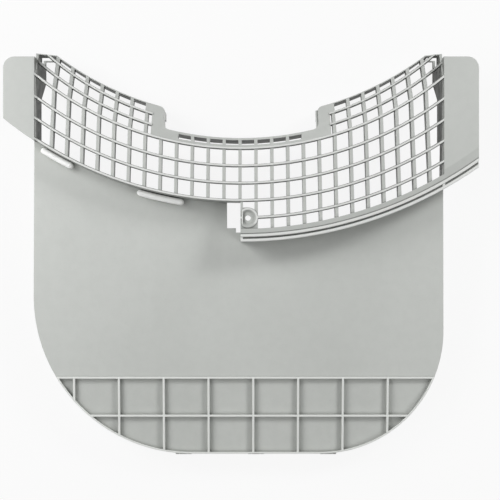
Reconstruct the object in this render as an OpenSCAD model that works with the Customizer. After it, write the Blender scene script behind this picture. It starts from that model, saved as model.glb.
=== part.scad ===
// Dryer lint filter: a curved grille hood that stands on a flat pouch, and the pouch opens like a book.
// The part lies on its back. X runs along the grille, +Y towards the top of the hood and +Z towards the
// drum. Most outlines are arcs about the drum's axis, which runs along Z. All sizes are in millimetres.

/* [Overall] */
// Height over all, from the hinge knuckles to the top of the hood
overall_h = 295; // [287:1:303]
// Width over the two end pads
overall_w = 340; // [332:1:352]
// Height of the grille's front face above the back of the part
grille_z = 50; // [47:1:55]
// Distance of the drum's axis above the middle of the part
drum_axis_y = 308.5; // [304:0.5:313]

/* [Grille] */
// Width of the grille between the outer faces of its end walls
grille_w = 292; // [288:1:298]
// Length that the left wing has more than the right one
left_extra = 2.5; // [1.5:0.1:3.5]
// Radius of the bar where the grille bends back
bend_r = 231; // [227:0.5:235]
// Spacing of the curved bars, measured on the grille
bar_pitch = 12.4; // [11.5:0.1:13]
// Width of a curved bar at its root
bar_w = 2.3; // [1.8:0.1:3]
// Width of a curved bar at its front edge
bar_tip_w = 1.3; // [0.8:0.1:1.7]
// Depth of a curved bar
bar_depth = 4.4; // [3.5:0.1:5.5]
// Distance that the curved bars stand proud of the uprights
bar_proud = 0.7; // [0.3:0.1:1.2]
// Thickness of the grille at the uprights
grille_t = 3; // [2.4:0.1:3.4]
// Width of an upright
upright_w = 2.4; // [1.8:0.1:2.8]
// Radius of the circle that spaces the uprights
upright_r = 511; // [505:1:516]
// Angle between neighbouring uprights on that circle
upright_angle = 1.283; // [1.27:0.001:1.295]
// Distance from the drum's axis up to the point where the uprights would meet
upright_meet = 2720; // [2300:20:3400]
// Sideways place of the middle upright
upright_shift = -0.7; // [-1.2:0.1:0]
// Angle at which the upper grille leans back
lean_angle = 47; // [42:1:52]
// Length of the leaning part, measured on the grille
lean_length = 37.5; // [34:0.5:39]
// Radius of the hood's top edge, which is rounder than the bars
top_arc_r = 227; // [218:1:238]
// Thickness of the hood's walls
hood_wall = 1.8; // [1.5:0.1:2.2]
// Thickness of the top flange beside the notch
flange_wall = 0.8; // [0.7:0.1:1.1]
// Length of the slot in the top flange beside each end wall
slot_l = 7; // [5:0.5:8]
// Height of the slot, measured from the back towards the drum
slot_h = 17; // [12:0.5:19]
// Width of the rail that closes the slot at the back
slot_rail = 3; // [2:0.5:5]

/* [Notch in the hood] */
// Width of the notch
notch_w = 112.4; // [106:0.5:116]
// Depth of the notch below the bend's bar, as a radius
notch_r = 222.8; // [220:0.2:224]
// Width of the solid border on each side of the notch
border_w = 8.6; // [7:0.1:10]
// Fillet at the foot of the notch
notch_fillet = 5.8; // [4:0.2:8]
// Round at the top corners of the notch
notch_round = 4.5; // [3:0.5:6]
// Width of the solid strip above the bend's bar
strip_w = 2.7; // [2:0.1:3.5]
// Depth at which the notch's flange ends, above the back of the part
notch_back_z = 14; // [10:1:18]

/* [Band and boss] */
// Radius of the band's inner edge
band_r = 288.6; // [287:0.2:290]
// Radius of the band's outer lip
lip_r = 298; // [296:0.5:301]
// Width of the lip
lip_w = 2.2; // [1.8:0.1:3]
// Width of the groove above the lip
groove_w = 1.2; // [1:0.1:1.6]
// Depth of the groove
groove_depth = 1.8; // [1.2:0.1:2.2]
// Width of the ridge above the groove
ridge_w = 2.2; // [1.6:0.1:2.8]
// Width of the fine line above the ridge
line_w = 0.6; // [0.4:0.1:0.8]
// Depth of the fine line
line_depth = 0.4; // [0.2:0.1:0.6]
// Thickness of the band and of the end pads
band_t = 3.2; // [2.6:0.1:4]
// Sideways place of the band's end wall
step_x = -0.4; // [-3:0.2:1]
// Sideways place of the boss
boss_x = 5; // [4:0.2:7]
// Radius of the arc on which the boss lies
boss_arc_r = 280.8; // [280:0.2:282]
// Radius of the boss
boss_r = 7.4; // [6.6:0.1:8]
// Step between the boss and the web round it
boss_step = 0.3; // [0.2:0.05:0.6]
// Radius of the dish in the boss
dish_r = 6; // [5:0.1:6.2]
// Depth of the dish
dish_depth = 1.7; // [1:0.1:2.2]
// Radius of the hole through the boss
boss_hole_r = 2; // [1.6:0.1:3]
// Length of the boss, from the grille's front face back
boss_length = 6.5; // [5.5:0.5:9]

/* [End pads and clips] */
// Distance of the pads' top edge below the top of the hood
pad_drop = 4.5; // [2:0.5:8]
// Depth of the walls round the pads
pad_depth = 11; // [8:0.5:14]
// Round at the pads' outer corners
pad_round = 8; // [5:0.5:10]
// Height of the clips' tops above the back of the part
clip_top_z = 40.5; // [38:0.5:43]
// Height of the clips' feet above the plate
clip_foot_h = 2.2; // [1.5:0.1:3]
// Width of the clips
clip_w = 4.4; // [3.6:0.1:5]
// Gap between the skirt and the clips
clip_gap = 0.8; // [0.5:0.1:1.2]

/* [Pouch] */
// Distance from the middle to the pouch's left side
pouch_left = 152.2; // [149:0.2:156]
// Distance from the middle to the pouch's right side
pouch_right = 149; // [147:0.2:153]
// Radius of the bottom left corner
corner_left_r = 115.5; // [108:0.5:118]
// Radius of the bottom right corner
corner_right_r = 90; // [84:0.5:96]
// Distance that each side leans in at the top
side_lean = 3.5; // [2:0.1:4]
// Thickness of the pouch at its foot
foot_h = 14; // [13:0.2:16]
// Angle of the drum-side plate against the back
wedge_angle = 5.5; // [4.8:0.1:6]
// Thickness of the drum-side plate
plate_t = 2; // [1.6:0.1:2.4]
// Thickness of the pouch's walls
pouch_wall = 2; // [1.6:0.1:2.6]
// Sideways place of the left edge of the gap in front of the boss
gap_left_x = -10.2; // [-14:0.2:-8]
// Height of the low step in the gap's floor
gap_step_h = 3.2; // [2:0.1:4]

/* [Ribbed foot] */
// Height of the ribbed foot, from the bottom edge
foot_band = 56.8; // [52:0.2:60]
// Depth of the recess between the ribs
recess = 2.2; // [1.6:0.1:3]
// Distance that the ribs stand proud of the plate
rib_proud = 0.8; // [0.4:0.1:1.2]
// Thickness of the recess's floor
floor_t = 1.5; // [1.2:0.1:1.8]
// Spacing of the foot's upright ribs
rib_pitch = 33.1; // [32:0.1:34]
// Width of the foot's ribs
rib_w = 1.6; // [1.2:0.1:2.2]
// Width of the rim round the foot
rim_w = 1.2; // [1:0.1:1.8]
// Sideways place of the first rib
first_rib_x = -123.3; // [-126:0.1:-120]

/* [Screen frame] */
// Height of the screen frame above the back of the part
frame_h = 7; // [6.6:0.1:7.6]
// Height of the seat on which the mesh lies
mesh_seat = 3.5; // [2.8:0.1:4]
// Thickness of the mesh
mesh_t = 0.4; // [0.3:0.05:0.6]
// Width of the frame's rim
frame_rim = 7; // [5:0.2:9]
// Width of the frame's raised edge
frame_edge = 2.4; // [2:0.1:3]
// Radius of the frame's top edge
mouth_r = 290.8; // [289.8:0.1:292]
// Spacing of the frame's upright ribs
frame_rib_pitch = 33.1; // [28:0.1:40]
// Spacing of the frame's cross ribs
frame_row_pitch = 34; // [28:0.5:40]
// Width of the frame's ribs
frame_rib_w = 1.8; // [1.4:0.1:2.4]
// Gap between the two halves where they meet
part_gap = 0.3; // [0.2:0.05:0.5]
// Width of the two fingers that centre the halves
finger_w = 12; // [8:0.5:16]
// Height of those fingers above the mesh's seat
finger_h = 10; // [7:0.5:12]

/* [Hinge] */
// Radius of the hinge knuckles
knuckle_r = 2.7; // [2.5:0.05:3]
// Distance of the hinge's axis inside the bottom edge
hinge_inset = 1.2; // [1:0.05:1.4]
// Radius of the hinge pins
pin_r = 1.3; // [1.1:0.05:1.45]
// Radial clearance of the pins in the barrels
pin_clearance = 0.06; // [0.04:0.01:0.09]
// Width of a barrel
barrel_w = 6; // [5:0.5:9]
// Width of an ear beside the barrel
ear_w = 2.6; // [2.4:0.2:4]
// Gap between a barrel and an ear
ear_gap = 0.3; // [0.2:0.05:0.5]
// Spacing of the three knuckles
knuckle_pitch = 54; // [46:1:58]
// Width of the slot through which a barrel snaps over its pin
snap_slot = 1.9; // [1.6:0.1:2]

/* [Hidden] */
$fn = 180;
eps = 0.01;
far = 400;
top_y = overall_h / 2;
hinge_y = -overall_h / 2 + knuckle_r;
foot_y = hinge_y - hinge_inset;
half_w = grille_w / 2;
left_half_w = half_w + left_extra;
notch_half = notch_w / 2;
uprights_each_side = 12;
front_rows = 3;
notch_slots_each_side = 4;
top_row_ends_at = 6;
// Bars are counted down the grille from the one at the bend, and the two above it have -1 and -2.
lean_rows = 2;
top_r = bend_r - lean_length * cos(lean_angle);
top_z = grille_z - lean_length * sin(lean_angle);
left_r = bar_r(front_rows) + bar_w / 2;
skirt_r = lip_r - lip_w + hood_wall;
lip_edge = 0.4;
top_axis_y = drum_axis_y - top_r + top_arc_r;
border_x = notch_half + border_w;
upright_y = drum_axis_y - bar_r(1);
boss_y = drum_axis_y - sqrt(pow(boss_arc_r, 2) - pow(boss_x, 2));
gap_floor_y = drum_axis_y - mouth_r + gap_step_h;
gap_step_x = gap_left_x + 6.5;
last_rib = 7;
foot_top_y = foot_y + foot_band;
clip_spans = [[31.6, 27], [15.6, 9.2]];
shell_colour = [0.74, 0.75, 0.73];
frame_colour = [0.7, 0.71, 0.69];
mesh_colour = [0.6, 0.61, 0.6];
centre_left = [-pouch_left + corner_left_r, foot_y + corner_left_r];
centre_right = [pouch_right - corner_right_r, foot_y + corner_right_r];
knuckle_mid = (centre_left.x + centre_right.x) / 2;
knuckle_xs = [for (i = [-1:1]) knuckle_mid + i * knuckle_pitch];
finger_y = 20;

// Radius of a bar, and its height on the leaning part
function bar_r(i) = i < 0 ? bend_r + i * bar_pitch * cos(lean_angle) : bend_r + i * bar_pitch;
function bar_z(i) = i < 0 ? grille_z + i * bar_pitch * sin(lean_angle) : grille_z;
// Sideways place of an upright at the second bar, and at height y on the front part of the grille
function upright_x(n) = upright_shift + upright_r * sin(n * upright_angle);
function upright_at(n, y) = upright_x(n) * (1 - (y - upright_y) / (upright_meet + bend_r));
// A point at radius r on the ray from the axis at height ay through p, whose own radius is from_r
function on_ray(p, from_r, r, ay = drum_axis_y) = [p.x * r / from_r, ay + (p.y - ay) * r / from_r];
// Height of the point at sideways place x on the lower side of an arc of radius r
function arc_y(r, x, ay = drum_axis_y) = ay - sqrt(r * r - x * x);

// A flat disc about the drum's axis
module disc(r) {
    translate([0, drum_axis_y]) circle(r);
}

// What the hood's top edge leaves free, drawn in by g
module above_top_edge(g) {
    translate([0, top_axis_y]) circle(top_arc_r + g);
}

// A solid turned about the drum's axis from a profile of radius and height
module turned() {
    translate([0, drum_axis_y, 0]) rotate_extrude() children();
}

module span(x1, x2, y1 = -far, y2 = far) {
    translate([x1, y1]) square([x2 - x1, y2 - y1]);
}

// The corner that a round of radius r leaves between a side at x and an arc of radius arc_r. The piece
// reaches past both by over, which is negative where the corner points at the arc's own axis.
module corner_piece(x, arc_r, centre, from_r, r, over, ay = drum_axis_y) {
    difference() {
        polygon([
            centre,
            [x + over, centre.y],
            [x + over, arc_y(arc_r + over, x + over, ay)],
            on_ray(centre, from_r, arc_r + over, ay)
        ]);
        translate(centre) circle(r, $fn = 48);
    }
}

// The notch's opening grown by g, with round feet
module notch_opening(g) {
    x = notch_half - notch_fillet;
    from_r = notch_r - notch_fillet;
    difference() {
        intersection() {
            disc(notch_r + g);
            span(-notch_half - g, notch_half + g);
        }
        for (m = [0, 1]) mirror([m, 0])
            corner_piece(notch_half + g, notch_r + g, [x, arc_y(from_r, x)], from_r, notch_fillet + g, 1);
    }
}

// What the round top corners of the notch take away
module notch_corners(g) {
    x = notch_half + notch_round;
    from_r = top_arc_r + notch_round;
    centre = [x, arc_y(from_r, x, top_axis_y)];
    for (m = [0, 1]) mirror([m, 0])
        corner_piece(notch_half + g, top_arc_r + g, centre, from_r, notch_round - g, -1, top_axis_y);
}

// The hood's outline drawn in by g. Its right half reaches down to the skirt behind the lip.
module hood_outline(g) {
    difference() {
        intersection() {
            span(-left_half_w + g, half_w - g, -far / 2, top_y - g);
            union() {
                disc(left_r - g);
                intersection() {
                    disc(skirt_r - g);
                    span(step_x + g, half_w);
                }
            }
        }
        above_top_edge(g);
        notch_opening(g);
        notch_corners(g);
    }
}

// Everything behind the grille's front face, sunk by d
module behind_front(d) {
    turned() polygon([
        [top_r - 40, -1],
        [lip_r + 20, -1],
        [lip_r + 20, grille_z - d],
        [bend_r + d * tan(lean_angle / 2), grille_z - d],
        [top_r + d * sin(lean_angle), top_z - d * cos(lean_angle)],
        [top_r - 40, top_z - d * cos(lean_angle)]
    ]);
}

// The sheet of the grille, before it is cut to its uprights and solid faces
module grille_sheet() {
    d = bar_proud;
    e = bar_proud + grille_t;
    turned() polygon([
        [lip_r, grille_z - d],
        [bend_r + d * tan(lean_angle / 2), grille_z - d],
        [top_r + d * sin(lean_angle), top_z - d * cos(lean_angle)],
        [top_r + e * sin(lean_angle), top_z - e * cos(lean_angle)],
        [bend_r + e * tan(lean_angle / 2), grille_z - e],
        [lip_r, grille_z - e]
    ]);
}

// One curved bar, a tapered section with its narrow edge towards the drum
module curved_bar(i) {
    turned() translate([bar_r(i), bar_z(i)])
        polygon([
            [-bar_tip_w / 2, 0],
            [bar_tip_w / 2, 0],
            [bar_w / 2, -bar_depth],
            [-bar_w / 2, -bar_depth]
        ]);
}

// The uprights draw together up to the bend, and run straight up from there
module uprights() {
    for (n = [-uprights_each_side:uprights_each_side]) {
        bend_y = arc_y(bend_r, upright_x(n));
        foot_x = upright_at(n, -far);
        bend_x = upright_at(n, bend_y);
        polygon([
            [foot_x - upright_w / 2, -far],
            [foot_x + upright_w / 2, -far],
            [bend_x + upright_w / 2, bend_y],
            [bend_x + upright_w / 2, far],
            [bend_x - upright_w / 2, far],
            [bend_x - upright_w / 2, bend_y]
        ]);
    }
}

// The parts of the grille that have no windows
module solid_faces() {
    for (m = [0, 1]) mirror([m, 0]) {
        intersection() {
            disc(bend_r);
            span(notch_half - 1, border_x);
        }
        intersection() {
            disc(bar_r(-lean_rows));
            span(border_x - eps, upright_x(top_row_ends_at));
        }
        intersection() {
            disc(bend_r);
            span(upright_x(notch_slots_each_side), notch_half);
        }
    }
    difference() {
        intersection() {
            disc(bend_r);
            span(-notch_half, notch_half);
        }
        disc(bend_r - strip_w);
    }
    boss_web();
}

// The web that ties the boss to the end wall and the band
module boss_web() {
    intersection() {
        disc(band_r + 1);
        union() {
            translate([boss_x, boss_y]) circle(boss_r);
            span(step_x, boss_x, boss_y - 2 * boss_r, boss_y + boss_r);
            span(step_x, boss_x + 0.75 * boss_r, boss_y - 2 * boss_r, boss_y - 0.5 * boss_r);
        }
    }
}

// The band: a flat ring with a wall at its outer edge, and the line, groove and lip cut into its face
module band() {
    back = grille_z - band_t;
    difference() {
        intersection() {
            turned() polygon([
                [band_r, back],
                [band_r, grille_z],
                [lip_r, grille_z],
                [lip_r, back - 1],
                [lip_r - lip_w, back - 1],
                [lip_r - lip_w, back]
            ]);
            linear_extrude(grille_z + 1) span(step_x, overall_w / 2, -far / 2, drum_axis_y - 10);
        }
        lip_relief();
    }
}

// One end pad's outline drawn in by g, with its outer top corner rounded
module pad_outline(side, g) {
    pad_top = top_y - pad_drop;
    outer = overall_w / 2;
    reach = side > 0 ? lip_r : left_r + 0.5;
    inner = (side > 0 ? half_w : left_half_w) - hood_wall / 2;
    mirror([side > 0 ? 0 : 1, 0]) intersection() {
        disc(reach - g);
        union() {
            span(inner + g, outer - pad_round, 0, pad_top - g);
            span(inner + g, outer - g, 0, pad_top - pad_round);
            translate([outer - pad_round, pad_top - pad_round]) circle(pad_round - g, $fn = 64);
        }
    }
}

module end_pad(side) {
    difference() {
        translate([0, 0, grille_z - pad_depth]) linear_extrude(pad_depth) pad_outline(side, 0);
        translate([0, 0, grille_z - pad_depth - 1]) linear_extrude(pad_depth + 1 - band_t)
            pad_outline(side, hood_wall);
        if (side > 0) lip_relief();
    }
}

// What the fine line, the groove and the rounded lip take from the band and from the right pad's edge
module lip_relief() {
    groove_out = lip_r - lip_w;
    groove_in = groove_out - groove_w;
    line_mid = groove_in - ridge_w - line_w / 2;
    turned() polygon([
        [line_mid, grille_z - line_depth],
        [line_mid + line_w, grille_z + line_depth],
        [line_mid - line_w, grille_z + line_depth]
    ]);
    turned() polygon([
        [groove_in - 2 * lip_edge, grille_z + lip_edge],
        [groove_in, grille_z - lip_edge],
        [groove_in, grille_z - groove_depth],
        [groove_out, grille_z - groove_depth],
        [groove_out, grille_z - 2 * lip_edge],
        [groove_out + lip_edge, grille_z - lip_edge],
        [lip_r - lip_edge, grille_z - lip_edge],
        [lip_r + lip_edge, grille_z - 3 * lip_edge],
        [lip_r + 5, grille_z - 3 * lip_edge],
        [lip_r + 5, grille_z + lip_edge]
    ]);
}

// A slice parallel to the drum-side plate's face, between two heights above that face
module plate_slice(z1, z2) {
    translate([0, foot_y, foot_h]) rotate([wedge_angle, 0, 0])
        translate([-far / 2, -20, z1]) cube([far, far, z2 - z1]);
}

// The hood's walls seen from the front. The top flange is thinner beside the notch.
module wall_ring() {
    difference() {
        hood_outline(0);
        hood_outline(hood_wall);
        intersection() {
            hood_outline(flange_wall);
            union() {
                above_top_edge(2 * hood_wall);
                span(-far, far, top_y - 2 * hood_wall, far);
            }
            union() {
                span(-left_half_w + hood_wall, -border_x);
                span(border_x, half_w - hood_wall);
            }
        }
    }
}

// The slot in the top flange beside an end wall. It takes the end wall's top corner too.
module flange_slot(x1, x2) {
    translate([x1, top_y - 4 * hood_wall, slot_rail]) cube([x2 - x1, far, slot_h]);
}

// The hood's walls: flanges, end walls, skirt and the wall at the end of the band
module hood_walls() {
    end_low_z = grille_z - 27;
    end_slope_y = [top_y - 32, top_y - 17];
    difference() {
        intersection() {
            linear_extrude(grille_z) wall_ring();
            behind_front(bar_proud);
        }
        flange_slot(-left_half_w - 1, -left_half_w + hood_wall + slot_l);
        flange_slot(half_w - hood_wall - slot_l, half_w + 1);
        // The skirt ends on the plate's face
        difference() {
            plate_slice(-80, 0);
            translate([0, 0, -80]) linear_extrude(200) disc(left_r - hood_wall - 0.5);
        }
        // The end walls are shallower below the slope
        for (m = [0, 1]) mirror([m, 0, 0])
            translate([half_w - 4, 0, 0]) rotate([90, 0, 90]) linear_extrude(left_extra + 8)
                polygon([
                    [0, -1],
                    [0, end_low_z],
                    [end_slope_y[0], end_low_z],
                    [end_slope_y[1], 0],
                    [end_slope_y[1], -1]
                ]);
        // The notch's flange is shallower than the top flange
        translate([0, 0, -1]) linear_extrude(notch_back_z + 1) difference() {
            span(-notch_half - 4, notch_half + 4);
            disc((top_r + notch_r) / 2);
        }
    }
}

// One clip: a ridge with a rounded top that laps the plate below the skirt, on a low foot. Its ends are a
// little narrower than the ridge.
module clip(a1, a2) {
    half_clip = clip_w / 2;
    mid_r = left_r + clip_gap + half_clip;
    end_r = half_clip - 0.15;
    ends = [for (a = [a1, a2]) [-mid_r * sin(a), drum_axis_y - mid_r * cos(a)]];
    intersection() {
        plate_slice(0, 4 * clip_w);
        union() {
            intersection() {
                turned() translate([mid_r, clip_top_z]) polygon([
                    [-half_clip, -far / 10],
                    [half_clip, -far / 10],
                    [half_clip, -0.6 * half_clip],
                    [0.75 * half_clip, -0.25 * half_clip],
                    [0.3 * half_clip, 0],
                    [-0.3 * half_clip, 0],
                    [-0.75 * half_clip, -0.25 * half_clip],
                    [-half_clip, -0.6 * half_clip]
                ]);
                linear_extrude(grille_z)
                    polygon([[0, drum_axis_y], on_ray(ends[0], mid_r, far), on_ray(ends[1], mid_r, far)]);
            }
            for (p = ends) translate([p.x, p.y, clip_top_z - 0.1]) rotate_extrude($fn = 48) polygon([
                [0, -far / 10],
                [end_r, -far / 10],
                [end_r, -0.6 * end_r],
                [0.75 * end_r, -0.25 * end_r],
                [0.3 * end_r, 0],
                [0, 0]
            ]);
        }
    }
    intersection() {
        plate_slice(0, clip_foot_h);
        linear_extrude(grille_z) intersection() {
            difference() {
                disc(mid_r);
                disc(left_r - hood_wall / 2);
            }
            polygon([[0, drum_axis_y], on_ray(ends[0], mid_r, far), on_ray(ends[1], mid_r, far)]);
        }
    }
}

// The lattice. The notch's solid borders are smooth, so the leaning bars end beside them.
module grille() {
    intersection() {
        linear_extrude(grille_z + 1) hood_outline(0);
        union() for (i = [0:front_rows + 1]) curved_bar(i);
    }
    intersection() {
        linear_extrude(grille_z + 1) difference() {
            hood_outline(0);
            span(-border_x + 0.5, border_x - 0.5);
        }
        union() for (i = [-lean_rows:-1]) curved_bar(i);
    }
    intersection() {
        linear_extrude(grille_z + 1) intersection() {
            hood_outline(0);
            disc(band_r + 1);
            union() {
                uprights();
                solid_faces();
            }
        }
        grille_sheet();
    }
}

// The boss, cut off by the band's end wall
module boss() {
    intersection() {
        translate([boss_x, boss_y, grille_z - boss_length]) cylinder(h = boss_length, r = boss_r - boss_step);
        translate([step_x + hood_wall / 2, -far / 2, 0]) cube([far, far, far]);
    }
}

module boss_dish() {
    intersection() {
        translate([boss_x, boss_y, grille_z - dish_depth])
            cylinder(h = dish_depth + eps, r1 = dish_r * 0.72, r2 = dish_r);
        translate([step_x + hood_wall, -far / 2, 0]) cube([far, far, far]);
    }
}

module grille_hood() {
    color(shell_colour) difference() {
        union() {
            grille();
            hood_walls();
            band();
            end_pad(-1);
            end_pad(1);
            for (s = clip_spans) clip(s[0], s[1]);
            boss();
        }
        boss_dish();
        translate([boss_x, boss_y, 0]) cylinder(h = grille_z + 1, r = boss_hole_r);
    }
}

// The pouch's outline drawn in by g, open at the top
module pouch_shape(g) {
    translate(centre_left) circle(corner_left_r - g);
    translate(centre_right) circle(corner_right_r - g);
    polygon([
        [centre_left.x, foot_y + g],
        [centre_right.x, foot_y + g],
        [pouch_right - g, centre_right.y],
        [pouch_right - side_lean - g, top_y],
        [-pouch_left + side_lean + g, top_y],
        [-pouch_left + g, centre_left.y]
    ]);
}

// The drum-side plate's outline: high behind the left half of the grille, low behind the band
module plate_shape() {
    difference() {
        pouch_shape(0);
        disc(left_r - hood_wall);
        intersection() {
            disc(mouth_r);
            span(gap_step_x, far);
        }
        span(gap_left_x, gap_step_x + eps, gap_floor_y, far);
    }
}

module foot_ribs() {
    ys = [foot_top_y, foot_y + foot_band / 2];
    for (y = ys) span(-far / 2, far / 2, y - rib_w / 2, y + rib_w / 2);
    for (i = [0:last_rib]) {
        x = first_rib_x + i * rib_pitch;
        span(x - rib_w / 2, x + rib_w / 2, -far / 2, foot_top_y);
    }
    difference() {
        pouch_shape(0);
        pouch_shape(rim_w);
    }
}

// A round bar along the hinge's axis, at one knuckle
module hinge_round(x, r, w) {
    translate([x - w / 2, hinge_y, frame_h]) rotate([0, 90, 0]) cylinder(h = w, r = r, $fn = 48);
}

// The wedge along the bottom edge that lets the halves swing a quarter turn
module hinge_relief() {
    translate([-far / 2, hinge_y, frame_h]) rotate([90, 0, 90]) linear_extrude(far)
        polygon([[0.4, 0], [-6, 6.4], [-6, -6.4]]);
}

module plate_body() {
    rib_depth = recess + floor_t / 2;
    difference() {
        union() {
            intersection() {
                plate_slice(-plate_t, 0);
                linear_extrude(grille_z) difference() {
                    plate_shape();
                    span(-far / 2, far / 2, -far / 2, foot_top_y);
                }
            }
            intersection() {
                plate_slice(-recess - floor_t, -recess);
                linear_extrude(grille_z) difference() {
                    plate_shape();
                    span(-far / 2, far / 2, foot_top_y, far);
                }
            }
            intersection() {
                plate_slice(-rib_depth, rib_proud);
                linear_extrude(grille_z) intersection() {
                    plate_shape();
                    span(-far / 2, far / 2, -far / 2, foot_top_y + rib_w / 2);
                    foot_ribs();
                }
            }
            intersection() {
                plate_slice(-60, 0);
                linear_extrude(grille_z) difference() {
                    plate_shape();
                    pouch_shape(pouch_wall);
                    span(-far / 2, far / 2, -far / 2, foot_top_y);
                }
            }
            intersection() {
                plate_slice(-60, -recess);
                linear_extrude(grille_z) difference() {
                    plate_shape();
                    pouch_shape(pouch_wall);
                    span(-far / 2, far / 2, foot_top_y, far);
                }
            }
        }
        translate([-far / 2, -far / 2, -1]) cube([far, far, frame_h + part_gap + 1]);
        hinge_relief();
        for (x = knuckle_xs) hinge_round(x, knuckle_r + part_gap, barrel_w + 2 * (ear_w + 2 * ear_gap));
    }
}

module barrel(x) {
    stem_y = foot_y + pouch_wall - hinge_y;
    hinge_round(x, knuckle_r, barrel_w);
    translate([x - barrel_w / 2, hinge_y - hinge_inset / 2, frame_h])
        cube([barrel_w, stem_y + hinge_inset / 2, knuckle_r + 1]);
}

module drum_side_plate() {
    color(shell_colour) difference() {
        union() {
            plate_body();
            for (x = knuckle_xs) barrel(x);
        }
        for (x = knuckle_xs) {
            hinge_round(x, pin_r + pin_clearance, barrel_w + 2);
            translate([x, hinge_y, frame_h]) rotate([200, 0, 0])
                translate([-barrel_w / 2 - 1, 0, -snap_slot / 2]) cube([barrel_w + 2, knuckle_r + 1, snap_slot]);
        }
    }
}

// The frame's ribs, spaced from the middle of the pouch
module frame_ribs() {
    for (i = [-4:4]) {
        x = knuckle_mid + i * frame_rib_pitch;
        span(x - frame_rib_w / 2, x + frame_rib_w / 2);
    }
    for (i = [1:6]) {
        y = foot_y + i * frame_row_pitch;
        span(-far / 2, far / 2, y - frame_rib_w / 2, y + frame_rib_w / 2);
    }
}

module frame_outline(g, mouth_g) {
    difference() {
        pouch_shape(g);
        disc(mouth_r + mouth_g);
    }
}

module screen_frame_body() {
    difference() {
        linear_extrude(frame_h) frame_outline(0, 0);
        // The seat for the mesh
        translate([0, 0, mesh_seat]) linear_extrude(frame_h) frame_outline(frame_edge, frame_edge);
        // The cells between the ribs
        translate([0, 0, -1]) linear_extrude(frame_h) difference() {
            frame_outline(frame_rim, frame_rim);
            frame_ribs();
        }
    }
    // Two fingers that centre the plate's side walls
    linear_extrude(mesh_seat + finger_h) intersection() {
        difference() {
            pouch_shape(pouch_wall + part_gap);
            pouch_shape(pouch_wall + part_gap + 2);
        }
        union() {
            span(-far, -pouch_left + 20, finger_y - finger_w / 2, finger_y + finger_w / 2);
            span(pouch_right - 20, far, finger_y - finger_w / 2, finger_y + finger_w / 2);
        }
    }
}

module ear(x) {
    stem_y = hinge_y - 0.7 * hinge_inset;
    hinge_round(x, knuckle_r, ear_w);
    translate([x - ear_w / 2, stem_y, 0]) cube([ear_w, foot_y + frame_rim / 2 - stem_y, frame_h]);
}

module screen_frame() {
    ear_x = barrel_w / 2 + ear_gap + ear_w / 2;
    color(frame_colour) {
        difference() {
            screen_frame_body();
            hinge_relief();
            for (x = knuckle_xs) hinge_round(x, knuckle_r + part_gap, barrel_w + 2 * ear_gap);
        }
        for (x = knuckle_xs) {
            ear(x - ear_x);
            ear(x + ear_x);
            hinge_round(x, pin_r, barrel_w + 2 * ear_gap + ear_w);
        }
    }
}

module fine_mesh() {
    color(mesh_colour) translate([0, 0, mesh_seat]) linear_extrude(mesh_t) difference() {
        frame_outline(frame_edge + 0.2, frame_edge + 0.2);
        for (side = [-1, 1])
            translate([side > 0 ? pouch_right - 10 : -pouch_left - 10, finger_y - finger_w / 2 - 0.5])
                square([20, finger_w + 1]);
    }
}

grille_hood();
drum_side_plate();
screen_frame();
fine_mesh();
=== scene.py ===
import math

import bpy
import numpy as np
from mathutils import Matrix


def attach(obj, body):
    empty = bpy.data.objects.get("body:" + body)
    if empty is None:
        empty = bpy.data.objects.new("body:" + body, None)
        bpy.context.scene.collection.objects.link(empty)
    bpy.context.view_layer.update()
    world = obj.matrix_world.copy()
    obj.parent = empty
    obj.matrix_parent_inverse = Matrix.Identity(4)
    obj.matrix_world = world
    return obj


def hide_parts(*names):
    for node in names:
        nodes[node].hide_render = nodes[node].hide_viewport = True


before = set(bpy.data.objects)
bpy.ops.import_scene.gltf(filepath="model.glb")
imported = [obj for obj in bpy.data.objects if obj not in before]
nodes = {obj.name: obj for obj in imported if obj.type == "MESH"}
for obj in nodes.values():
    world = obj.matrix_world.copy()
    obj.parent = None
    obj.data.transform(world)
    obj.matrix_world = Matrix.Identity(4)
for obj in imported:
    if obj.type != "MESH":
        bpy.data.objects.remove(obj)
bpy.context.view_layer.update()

mm = 0.001
print("frame loaded:", ", ".join(sorted(nodes)))


# Shader maths
class Socket:
    # one output of a material's nodes: Python maths on it adds Math nodes
    def __init__(self, tree, output=None):
        self.tree = tree
        self.output = output

    def node(self, kind, settings=(), sockets=(), out=0):
        # settings are set first, then the sockets get their values or links
        made = self.tree.nodes.new(kind)
        for name, value in dict(settings).items():
            setattr(made, name, value)
        for name, value in dict(sockets).items():
            if isinstance(value, Socket):
                self.tree.links.new(value.output, made.inputs[name])
            else:
                made.inputs[name].default_value = value
        return Socket(self.tree, made.outputs[out] if made.outputs else None)

    def maths(self, operation, *values):
        return self.node("ShaderNodeMath", {"operation": operation}, enumerate(values))

    def __add__(self, other):
        return self.maths("ADD", self, other)

    def __radd__(self, other):
        return self.maths("ADD", other, self)

    def __sub__(self, other):
        return self.maths("SUBTRACT", self, other)

    def __rsub__(self, other):
        return self.maths("SUBTRACT", other, self)

    def __mul__(self, other):
        return self.maths("MULTIPLY", self, other)

    def __rmul__(self, other):
        return self.maths("MULTIPLY", other, self)

    def __pow__(self, other):
        return self.maths("POWER", self, other)

    def __abs__(self):
        return self.maths("ABSOLUTE", self)

    def sine(self):
        return self.maths("SINE", self)

    def larger(self, other):
        return self.maths("MAXIMUM", self, other)

    def between(self, low, high):
        # 0 below low, 1 above high and smooth between
        return self.node("ShaderNodeMapRange", {"interpolation_type": "SMOOTHSTEP"},
                         {"Value": self, "From Min": low, "From Max": high})

    def blend(self, first, second):
        # from the first colour to the second, by this mask
        return self.node("ShaderNodeMix", {"data_type": "RGBA"},
                         {"Factor": self, 6: first, 7: second}, out=2)

    def xyz(self):
        # a vector's three numbers
        return [self.node("ShaderNodeSeparateXYZ", {}, {"Vector": self}, out=axis) for axis in "XYZ"]


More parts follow.
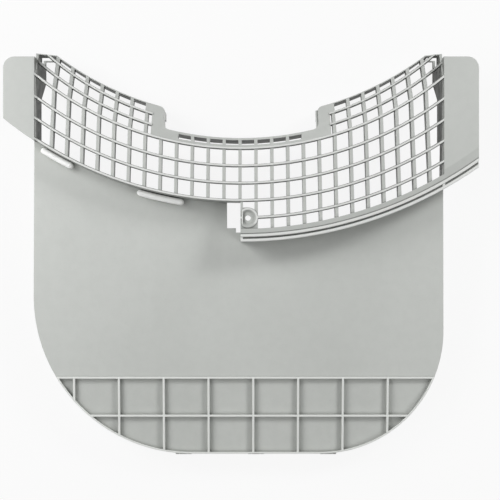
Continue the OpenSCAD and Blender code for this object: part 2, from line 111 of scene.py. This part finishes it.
def newMaterial(name):
    material = bpy.data.materials.new(name)
    material.use_nodes = True
    material.node_tree.nodes.clear()
    return material, Socket(material.node_tree)


def rgb(*values):
    return (*values, 1)


def noise(place, size, detail, fineness=0.5):
    return place.node("ShaderNodeTexNoise", {}, {
        "Vector": place, "Scale": 1 / size, "Detail": detail, "Roughness": fineness})


def radiusFrom(x, y, axisY):
    # the distance from an upright axis at X 0 and this Y: the root of x squared plus y squared
    up = y - axisY * mm
    return (x * x + up * up) ** 0.5


def past(value, mark, soft=0.4):
    # 0 below the mark and 1 above it, both in mm, and smooth over the soft width between
    return value.between((mark - soft / 2) * mm, (mark + soft / 2) * mm)


# Where painted highlight and shade go on the plate, in mm as in the CAD source
platePaintedLight = {
    "footY": -146, "footZ": 14, "slope": math.tan(math.radians(5.5)),  # the plate's face
    "ribsOver": 0.4,  # what stands higher over that face gets a painted highlight
    "cellsOver": -0.8,  # what lies deeper gets painted shade
    "cellShade": 0.11,
}


def overPlate(y, z):
    # the height over the plate's face, which climbs by its slope from the foot
    return z - platePaintedLight["footZ"] * mm - (y - platePaintedLight["footY"] * mm) * platePaintedLight["slope"]


def paintedRibHighlight(x, y, z):
    # the ribs and the rim stand proud of the plate and get a painted highlight, a paler colour where they
    # catch the light
    return past(overPlate(y, z), platePaintedLight["ribsOver"])


def paintedCellShade(x, y, z, nx, ny, nz):
    # painted shade in the sunk cells of the foot
    return platePaintedLight["cellShade"] * (1 - past(overPlate(y, z), platePaintedLight["cellsOver"]))


# Where painted highlight and shade go on the hood, in mm as in the CAD source, with radii about the drum's
# axis
hoodPaintedLight = {
    "axisY": 308.5, "skirtFrom": 269.2, "clipFrom": 269.9, "bandFrom": 285, "lipFrom": 292.6,
    "notchRadius": 223.2, "notchHalf": 56.6,
    "topAxisY": 330.1, "topRadius": 227.4,
    "faceZ": 50, "bend": 231, "lean": math.tan(math.radians(47)),  # the face leans back inside the bend
    "proudFrom": -0.35, "proudSoft": 0.3,  # how close below the face the proud bars begin
    "clipTo": -30, "clipSoft": 0.2, "clipEndSoft": 1,
    "barTo": 145, "lipZ": 49,
    "barHighlight": 0.4, "lipHighlight": 0.4,
    "wallLeft": -148.2, "wallRight": 145.4,
    "ends": 136, "endsSoft": 2,
    "skirtTo": 3, "bandZ": 40, "bandInset": 1, "bandSoft": 1,
    "sideFacing": (0.5, 0.9), "underFacing": (0.2, 0.8),  # how far a face turns from the front or down
    "sideShade": 0.88, "underShade": 0.1, "frontShade": 0.07, "bandShade": 0.14,
    "skirtLessShade": 0.6,  # the left skirt's outer face gets less painted shade
}


def paintedHoodHighlight(x, y, z):
    # the clips, outside the left wing's lowest bar, get a strong painted highlight, and the proud bars and
    # the lip a weaker one
    w = hoodPaintedLight
    radius = radiusFrom(x, y, w["axisY"])
    clips = past(radius, w["clipFrom"], w["clipSoft"]) * (1 - past(x, w["clipTo"], w["clipEndSoft"]))
    face = w["faceZ"] * mm - (w["bend"] * mm - radius).larger(0) * w["lean"]
    bars = past(z - face, w["proudFrom"], w["proudSoft"])
    bars = bars * (1 - past(radius, w["bandFrom"])) * (1 - past(abs(x), w["barTo"]))
    lip = past(radius, w["lipFrom"]) * past(z, w["lipZ"])
    return clips.larger(w["barHighlight"] * bars).larger(w["lipHighlight"] * lip)


def paintedSideShade(x, y, z, nx, ny, nz):
    # painted shade on the sides of the bars, most of all on the undersides and the end walls, a little on
    # the fronts inside the grille and on the band's face
    w = hoodPaintedLight
    radius = radiusFrom(x, y, w["axisY"])
    inside = past(x, w["wallLeft"]) * (1 - past(x, w["wallRight"])) * (1 - past(radius, w["bandFrom"]))
    inside = inside * past(radiusFrom(x, y, w["topAxisY"]), w["topRadius"])
    inside = inside * past(abs(x), w["notchHalf"]).larger(past(radius, w["notchRadius"]))
    under = (0 - ny).between(*w["underFacing"]).larger(past(abs(x), w["ends"], w["endsSoft"]))
    band = past(radius, w["bandFrom"] + w["bandInset"], w["bandSoft"])
    band = band * (1 - past(radius, w["lipFrom"])) * past(z, w["bandZ"])
    skirt = past(radius, w["skirtFrom"]) * (1 - past(x, w["skirtTo"]))
    sides = (1 - abs(nz)).between(*w["sideFacing"]) * (w["sideShade"] + w["underShade"] * under)
    sides = sides * (1 - w["skirtLessShade"] * skirt)
    return (inside * sides.larger(w["frontShade"])).larger(w["bandShade"] * band)


# Moulded plastic
shellPlastic = {
    "name": "greyPlate",
    "colour": (0.515, 0.530, 0.508),
    "deep": (0.470, 0.485, 0.464),  # where the flow of the melt left it darker
    "deepByFlow": 0.55, "deepByMottle": 0.35,
    "speckShare": 0.10, "speckTone": 0.6,
    "edge": (0.760, 0.775, 0.750),  # painted highlight along the edges
    "edgeRadius": 0.8 * mm, "edgeSamples": 6,
    "edgeGain": (0.04, 0.42),
    "edgeShare": 0.8, "edgeBreak": 0.25,  # the mottle breaks up the painted edge highlight
    "shadeColour": (0.20, 0.205, 0.19),  # painted shade in creases, hollows and recesses
    "shadeSamples": 8,
    "crease": 0.7,
    "creaseReach": 2 * mm,
    "creaseSpan": (0.1, 0.65),
    "hollow": 0.4,
    "reach": 12 * mm,
    "hollowSpan": (0.02, 0.75),
    "overlapped": True,  # whether other pieces close by cast painted shade on this one
    "shadeWhere": paintedCellShade, "shadeBreak": 0.15,
    # a paler colour for the painted highlight on the ribs and rim
    "highlightColour": (0.70, 0.715, 0.69),
    "highlightWhere": paintedRibHighlight,
    "roughness": 0.40,
    "roughen": {"mottle": 0.07, "flow": -0.05, "rub": 0.06, "edge": -0.07, "paintedShade": 0.2},
    "specular": 0.45, "ior": 1.46,
    "grains": [(0.45 * mm, 2, 0.7), (0.16 * mm, 1, 0.3)],  # size, detail and share
    "grainDepth": 0.012 * mm, "grainStrength": 0.55,
    "fineness": 0.55,
    "seed": 3.1,
    "marks": {
        # size, detail, where the seed shifts it, its stretch, and the noise that becomes 0 and 1
        "flow": (70 * mm, 2, (1, 0, 0), (1, 0.45, 1), (0.35, 0.7)),  # broad, along the flow
        "mottle": (7 * mm, 3, (0, 1, 0), (1, 1, 1), (0.3, 0.75)),
        "speck": (0.9 * mm, 1, (0, 0, 1), (1, 1, 1), (0.62, 0.72)),
        "rub": (5 * mm, 3, (1, 1, 0), (6, 0.5, 6), (0.58, 0.8)),  # faint rubbing up the slot
    },
}

hoodPlastic = {
    **shellPlastic,
    "name": "greyHood",
    # the hood's colour and deep tone are the plate's made a little darker, painted shade on the same
    # plastic
    "colour": (0.486, 0.500, 0.480),
    "deep": (0.445, 0.458, 0.440),
    # a near-white colour for the painted highlight on the clips, bars and lip
    "highlightColour": (0.93, 0.935, 0.92),
    # a dark colour for the painted shade on the undersides, sides and end walls
    "shadeColour": (0.10, 0.105, 0.095),
    "hollow": 0.85,
    "crease": 0.75,
    "creaseReach": 3 * mm,
    "creaseSpan": (0.06, 0.42),
    "reach": 22 * mm,
    "highlightWhere": paintedHoodHighlight,
    "shadeWhere": paintedSideShade,
    "seed": 5.7,
}

framePlastic = {
    **shellPlastic,
    "name": "greyFrame",
    "colour": (0.450, 0.465, 0.445),
    "deep": (0.410, 0.425, 0.405),
    "edge": (0.66, 0.675, 0.655),
    "roughness": 0.46,
    "overlapped": False,
    "highlightWhere": None,
    "shadeWhere": None,
    "seed": 8.4,
}


def mouldedPlastic(look):
    # The base colour goes darker with the flow and the mottle, gets a painted highlight where an edge's
    # rounded normal turns from the flat one, painted shade where occlusion finds a crease or a hollow and
    # where the shade mask puts it, and a painted highlight where the highlight mask puts it.
    material, s = newMaterial(look["name"])
    place = s.node("ShaderNodeTexCoord", out="Object")
    facing = s.node("ShaderNodeTexCoord", out="Normal")
    rounded = s.node("ShaderNodeBevel", {"samples": look["edgeSamples"]}, {"Radius": look["edgeRadius"]})
    flat = s.node("ShaderNodeNewGeometry", out="True Normal")
    along = s.node("ShaderNodeVectorMath", {"operation": "DOT_PRODUCT"}, {0: rounded, 1: flat}, out="Value")
    marks = {"edge": (1 - along).between(*look["edgeGain"])}
    for name, (size, detail, shift, stretch, span) in look["marks"].items():
        moved = s.node("ShaderNodeMapping", {}, {
            "Vector": place, "Location": [look["seed"] * part for part in shift], "Scale": stretch})
        marks[name] = noise(moved, size, detail, look["fineness"]).between(*span)
    mottle = marks["mottle"]

    # occlusion over a short and a long reach paints shade into creases and hollows, and the mask adds
    # painted shade where it says
    occluded = {"samples": look["shadeSamples"], "only_local": not look["overlapped"]}
    near, far = [s.node("ShaderNodeAmbientOcclusion", occluded, {"Distance": reach}, out="AO")
                 for reach in (look["creaseReach"], look["reach"])]
    paintedShade = look["crease"] * (1 - near).between(*look["creaseSpan"])
    paintedShade = paintedShade.larger(look["hollow"] * (1 - far).between(*look["hollowSpan"]))
    if look["shadeWhere"]:
        shadeHere = look["shadeWhere"](*place.xyz(), *facing.xyz())
        paintedShade = paintedShade.larger(shadeHere * (1 - look["shadeBreak"] + look["shadeBreak"] * mottle))
    marks["paintedShade"] = paintedShade

    deep = look["deepByFlow"] * marks["flow"] + look["deepByMottle"] * mottle
    paintedEdgeLight = look["edgeShare"] * marks["edge"] * (1 - look["edgeBreak"] + look["edgeBreak"] * mottle)
    speck = [look["speckTone"] * part for part in look["colour"]]
    colour = deep.blend(rgb(*look["colour"]), rgb(*look["deep"]))
    colour = (look["speckShare"] * marks["speck"]).blend(colour, rgb(*speck))
    colour = paintedEdgeLight.blend(colour, rgb(*look["edge"]))
    colour = paintedShade.blend(colour, rgb(*look["shadeColour"]))
    if look["highlightWhere"]:
        colour = look["highlightWhere"](*place.xyz()).blend(colour, rgb(*look["highlightColour"]))
    roughness = look["roughness"]
    for name, share in look["roughen"].items():
        roughness = roughness + share * marks[name]

    coarse, fine = [share * noise(place, size, detail, look["fineness"])
                    for size, detail, share in look["grains"]]
    bump = s.node("ShaderNodeBump", {}, {
        "Strength": look["grainStrength"], "Distance": look["grainDepth"],
        "Height": coarse + fine, "Normal": rounded})
    surface = s.node("ShaderNodeBsdfPrincipled", {}, {
        "Base Color": colour, "Roughness": roughness, "Normal": bump,
        "IOR": look["ior"], "Specular IOR Level": look["specular"]})
    s.node("ShaderNodeOutputMaterial", {}, {"Surface": surface})
    return material


def dress(node, material):
    solid = nodes[node].data
    solid.materials.clear()
    solid.materials.append(material)


dress("drum_side_plate", mouldedPlastic(shellPlastic))
hoodMaterial = mouldedPlastic(hoodPlastic)
dress("grille_hood", hoodMaterial)
dress("screen_frame", mouldedPlastic(framePlastic))
print("moulded plastic made")


def newPiece(name, points, faces, material, body):
    # points in mm, and faces as rows of the points' numbers, outward
    made = bpy.data.meshes.new(name)
    made.from_pydata((points.reshape(-1, 3) * mm).tolist(), [], faces.tolist())
    made.materials.append(material)
    made.update()
    piece = bpy.data.objects.new(name, made)
    bpy.context.scene.collection.objects.link(piece)
    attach(piece, body)
    return piece


# Fins that stiffen the grille, one behind each upright, in mm, with radii about the drum's axis
fins = {
    "eachSide": 12,
    "shift": -0.7, "spread": 511, "angle": math.radians(1.283),  # sideways places at the second bar
    "axisY": 308.5, "secondBar": 243.4, "meet": 2951,
    "bend": 231, "lean": math.tan(math.radians(47)),
    "lowLeft": 268.8, "lowBoss": 272, "lowRight": 288.8,
    "notchHalf": 56.2, "notchTop": 226, "topAxisY": 330.1, "topRadius": 229.5,
    "faceZ": 47.8, "deep": 6.8, "wide": 2.36, "narrow": 2.3,
    "steps": 26,
}


def finSections(f):
    # Each fin runs up its upright from the lowest bar or the band to the top edge, and draws in sideways
    # in step with its rise over the second bar. Its section is a trapezium that hangs from the grille's
    # sheet, which leans back inside the bend's radius.
    n = np.arange(-f["eachSide"], f["eachSide"] + 1)
    place = f["shift"] + f["spread"] * np.sin(n * f["angle"])

    def onArc(radius, axisY, across):
        # the lower half of a circle about the axis
        return axisY - np.sqrt(radius ** 2 - across ** 2)

    low = np.where(n > 1, f["lowRight"], np.where(n == 1, f["lowBoss"], f["lowLeft"]))
    lowY = onArc(low, f["axisY"], place)
    notchY = onArc(f["notchTop"], f["axisY"], np.minimum(abs(place), f["notchHalf"]))
    topY = np.where(abs(place) < f["notchHalf"], notchY, onArc(f["topRadius"], f["topAxisY"], place))
    bendY = onArc(f["bend"], f["axisY"], place)
    y = lowY[:, None] + np.linspace(0, 1, f["steps"]) * (topY - lowY)[:, None]
    rise = np.minimum(y, bendY[:, None]) - (f["axisY"] - f["secondBar"])
    x = place[:, None] * (1 - rise / f["meet"])
    inside = np.maximum(f["bend"] - np.hypot(x, y - f["axisY"]), 0)
    z = f["faceZ"] - inside * f["lean"]
    half = np.array([-f["wide"], -f["narrow"], f["narrow"], f["wide"]]) / 2
    drop = np.array([0, f["deep"], f["deep"], 0])
    x, y, z = x[..., None] + half, y[..., None] + 0 * half, z[..., None] - drop
    return np.stack([x, y, z], -1)


def sweptBars(name, sections, material, body):
    # sections is bars x steps x corners x 3: each section joins the next, and both ends are closed
    bars, steps, corners = sections.shape[:3]
    index = np.arange(bars * steps * corners).reshape(bars, steps, corners)
    turned = np.roll(index, -1, 2)
    sides = np.stack([index[:, :-1], index[:, 1:], turned[:, 1:], turned[:, :-1]], -1).reshape(-1, 4)
    ends = np.concatenate([index[:, 0], index[:, -1, ::-1]])
    return newPiece(name, sections, np.concatenate([sides, ends]), material, body)


sweptBars("uprightFins", finSections(fins), hoodMaterial, "drum_half")
print("fins made")


# Fine mesh, in mm
mesh = {
    "left": 149.6, "right": 146.4,  # straight sides at their lower ends, from the middle
    "trim": 0.1,  # cut off each side's sharp tip, so that no face shrinks to a line
    "bottom": -143.4,
    "cornerLeft": 112.9, "cornerRight": 87.4,
    "sideLean": 3.5 / 178,
    "mouthRadius": 293.4, "axisY": 308.5,
    "height": 3.7, "thickness": 0.22,
    "ribPitch": 33.1, "rowPitch": 34, "middle": 11.15, "foot": -146,
    "bulge": 0.12,
    "across": 181, "up": 121,
}

weave = {
    "pitch": 0.62 * mm, "depth": 0.08 * mm, "strength": 0.6,
    "threadShare": 0.7, "overShare": 0.3,  # round threads, and over and under by turns
    "holes": 0.45, "threadSpan": (0.55, 0.85),  # how solid the holes look, and where a thread begins
    "tones": [(0.40, 0.41, 0.40), (0.34, 0.35, 0.34)],
    "toneSize": 18 * mm, "toneDetail": 3, "toneSpan": (0.3, 0.7),
    "lint": (0.55, 0.55, 0.54), "lintShare": 0.3,
    "lintSize": 2.2 * mm, "lintDetail": 4, "lintSpan": (0.6, 0.8),
    "roughness": 0.55, "lintRoughness": 0.15,
    "sheen": 0.2,
}


def surfaceGrid(name, points, material, body):
    # points is rows x columns x 3, and neighbouring points share a square
    rows, columns = points.shape[:2]
    index = np.arange(rows * columns).reshape(rows, columns)
    corners = np.stack([index[:-1, :-1], index[:-1, 1:], index[1:, 1:], index[1:, :-1]], -1).reshape(-1, 4)
    piece = newPiece(name, points, corners, material, body)
    piece.data.polygons.foreach_set("use_smooth", np.ones(len(corners), bool))
    piece.data.update()
    return piece


def meshPoints(m):
    # u runs across and v up. At each x the sheet reaches from the lower outline, the straight foot with
    # its two corner arcs, to the mouth's arc, and never past the leaning sides. Between the frame's ribs
    # it bulges by a product of two sines.
    u = np.linspace(0, 1, m["across"])
    u = 0.5 - 0.5 * np.cos(math.pi * u)  # closer together towards both sides
    x = m["trim"] - m["left"] + u * (m["left"] + m["right"] - 2 * m["trim"])
    leftX = -m["left"] + m["cornerLeft"]
    rightX = m["right"] - m["cornerRight"]
    dropLeft = np.sqrt(np.clip(m["cornerLeft"] ** 2 - np.minimum(x - leftX, 0) ** 2, 0, None))
    dropRight = np.sqrt(np.clip(m["cornerRight"] ** 2 - np.maximum(x - rightX, 0) ** 2, 0, None))
    low = m["bottom"] + np.where(x < leftX, m["cornerLeft"] - dropLeft, 0)
    low = low + np.where(x > rightX, m["cornerRight"] - dropRight, 0)
    sideLow = np.where(x < 0, m["bottom"] + m["cornerLeft"], m["bottom"] + m["cornerRight"])
    inFromSide = np.where(x < 0, x + m["left"], m["right"] - x)
    high = np.minimum(m["axisY"] - np.sqrt(m["mouthRadius"] ** 2 - x ** 2),
                      sideLow + inFromSide / m["sideLean"])
    v = np.linspace(0, 1, m["up"])[:, None]
    y = low + v * (high - low)
    x = np.broadcast_to(x, y.shape)
    cell = np.abs(np.sin(math.pi * (x - m["middle"]) / m["ribPitch"]))
    cell = cell * np.abs(np.sin(math.pi * (y - m["foot"]) / m["rowPitch"]))
    z = m["height"] + m["bulge"] * cell
    return np.stack([x, y, z], -1)


def wovenScreen(w):
    # warp and weft are sines across and up: their squares make the threads, and their product goes over
    # and under by turns
    material, s = newMaterial("screenMesh")
    place = s.node("ShaderNodeTexCoord", out="Object")
    warp, weft = [(along * (math.pi / w["pitch"])).sine() for along in place.xyz()[:2]]
    thread = (warp * warp).larger(weft * weft)
    tone = noise(place, w["toneSize"], w["toneDetail"]).between(*w["toneSpan"])
    lint = noise(place, w["lintSize"], w["lintDetail"])
    colour = tone.blend(*(rgb(*shade) for shade in w["tones"]))
    colour = (w["lintShare"] * lint.between(*w["lintSpan"])).blend(colour, rgb(*w["lint"]))
    bump = s.node("ShaderNodeBump", {}, {
        "Strength": w["strength"], "Distance": w["depth"],
        "Height": w["threadShare"] * thread + w["overShare"] * (warp * weft)})
    surface = s.node("ShaderNodeBsdfPrincipled", {}, {
        "Base Color": colour, "Roughness": w["roughness"] + w["lintRoughness"] * lint, "Normal": bump,
        "Alpha": w["holes"] + (1 - w["holes"]) * thread.between(*w["threadSpan"]),
        "Sheen Weight": w["sheen"]})
    s.node("ShaderNodeOutputMaterial", {}, {"Surface": surface})
    return material


screen = surfaceGrid("fineMeshSheet", meshPoints(mesh), wovenScreen(weave), "screen_half")
wall = screen.modifiers.new("thickness", "SOLIDIFY")
wall.thickness = mesh["thickness"] * mm
wall.offset = 0
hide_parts("fine_mesh")
print("fine mesh made")


# Studio, in metres
studio = {
    "cameraAt": (0, -6 * mm, 950 * mm),
    "lens": 90.72,  # focal length in mm
    "shift": (0.018, 0.03),
    "cameraSees": (0.05, 20),
    "floorColour": (0.90, 0.90, 0.895),
    "floorWhite": 0.93,  # how much of the white backdrop shows in the floor
    "floorHalf": 4, "floorZ": -0.2 * mm,
    "white": 0.965,  # how bright the backdrop is, with 1 as pure white
    "lampAway": 0.9,
    "lamps": [
        # name, power in W, size, degrees from +Y towards +X, degrees above the floor
        ("key", 3.9, 0.2, 54, 32),
        ("leftLow", 5.3, 0.4, -60, 35),
        ("leftHigh", 1.6, 0.4, -90, 60),
        ("frontLeft", 1.3, 0.4, -120, 35),
        ("frontRight", 2.3, 0.4, 120, 35),
    ],
}


def seen(s):
    # 1 for what the camera, a gloss or a clear piece shows, and 0 for light on the object
    rays = [s.node("ShaderNodeLightPath", out=f"Is {kind} Ray")
            for kind in ("Camera", "Glossy", "Transmission")]
    return rays[0].larger(rays[1]).larger(rays[2])


def makeCamera(look):
    scene = bpy.context.scene
    scene.view_settings.view_transform = "Standard"
    camera = bpy.data.objects.new("camera", bpy.data.cameras.new("camera"))
    camera.location = look["cameraAt"]
    camera.data.lens = look["lens"]
    camera.data.shift_x, camera.data.shift_y = look["shift"]
    camera.data.clip_start, camera.data.clip_end = look["cameraSees"]
    scene.collection.objects.link(camera)
    scene.camera = camera


def makeBackdrop(look):
    # white light that only the camera, glosses and clear pieces see, on the world and on the floor
    world = bpy.data.worlds.new("studio")
    bpy.context.scene.world = world
    world.use_nodes = True
    world.node_tree.nodes.clear()
    s = Socket(world.node_tree)
    light = s.node("ShaderNodeBackground", {}, {"Color": rgb(1, 1, 1), "Strength": look["white"] * seen(s)})
    s.node("ShaderNodeOutputWorld", {}, {"Surface": light})

    material, s = newMaterial("floor")
    ground = s.node("ShaderNodeBsdfDiffuse", {}, {"Color": rgb(*look["floorColour"])})
    white = s.node("ShaderNodeEmission", {}, {"Color": rgb(1, 1, 1), "Strength": look["white"]})
    mixed = s.node("ShaderNodeMixShader", {}, {0: look["floorWhite"] * seen(s), 1: ground, 2: white})
    s.node("ShaderNodeOutputMaterial", {}, {"Surface": mixed})
    half = look["floorHalf"]
    made = bpy.data.meshes.new("floor")
    made.from_pydata([(-half, -half, 0), (half, -half, 0), (half, half, 0), (-half, half, 0)],
                     [], [(0, 1, 2, 3)])
    made.materials.append(material)
    floor = bpy.data.objects.new("floor", made)
    floor.location.z = look["floorZ"]
    bpy.context.scene.collection.objects.link(floor)


def makeLamps(look):
    # square lamps on a dome about the origin, each turned to it
    for name, power, size, turn, rise in look["lamps"]:
        lamp = bpy.data.objects.new(name, bpy.data.lights.new(name, "AREA"))
        lamp.data.shape = "SQUARE"
        lamp.data.energy = power
        lamp.data.size = size
        turn, rise = math.radians(turn), math.radians(rise)
        lamp.location = (look["lampAway"] * math.cos(rise) * math.sin(turn),
                         look["lampAway"] * math.cos(rise) * math.cos(turn),
                         look["lampAway"] * math.sin(rise))
        lamp.rotation_mode = "QUATERNION"
        lamp.rotation_quaternion = (-lamp.location).to_track_quat("-Z", "Y")
        bpy.context.scene.collection.objects.link(lamp)


makeCamera(studio)
makeBackdrop(studio)
makeLamps(studio)
print("studio made")
